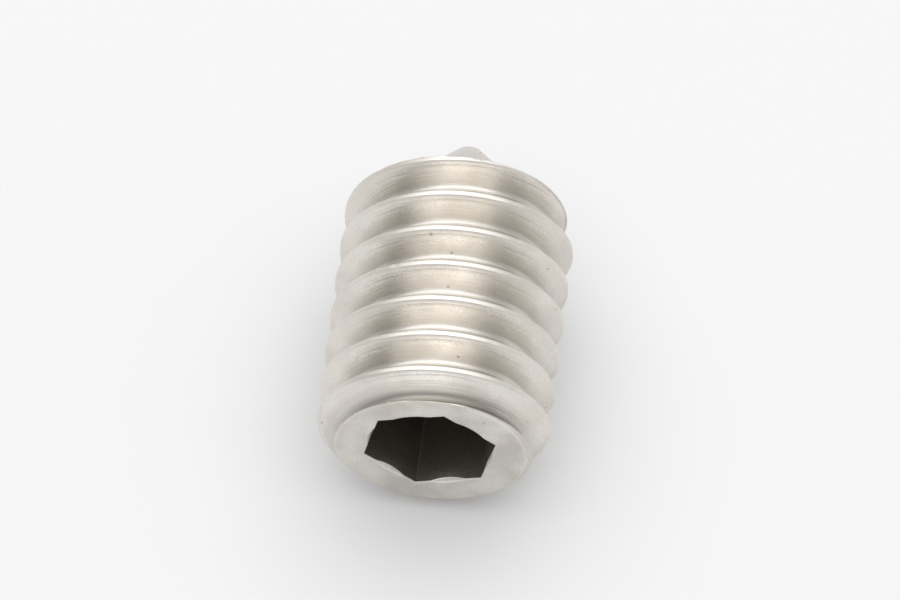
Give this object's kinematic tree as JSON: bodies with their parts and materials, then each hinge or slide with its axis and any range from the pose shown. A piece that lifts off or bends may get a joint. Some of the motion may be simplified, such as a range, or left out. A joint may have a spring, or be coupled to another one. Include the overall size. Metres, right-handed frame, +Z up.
{
  "type": "grub set screw",
  "caption": "Headless stainless set screw with a right-hand metric thread, a hexagon socket in one end and a cone point at the other, for locking a part on a shaft.",
  "frame": {"origin": "centre of the flat socket end, on the screw's axis", "axes": "+Y along the screw's axis from the socket end to the cone point, +Z up with the screw lying on its thread"},
  "size_m": [0.004, 0.006, 0.004],
  "materials": {
    "stainless_steel": "plain stainless steel, satin from thread rolling and tumbling"
  },
  "bodies": {
    "root": {"set_screw": "stainless_steel"}
  },
  "joints": []
}
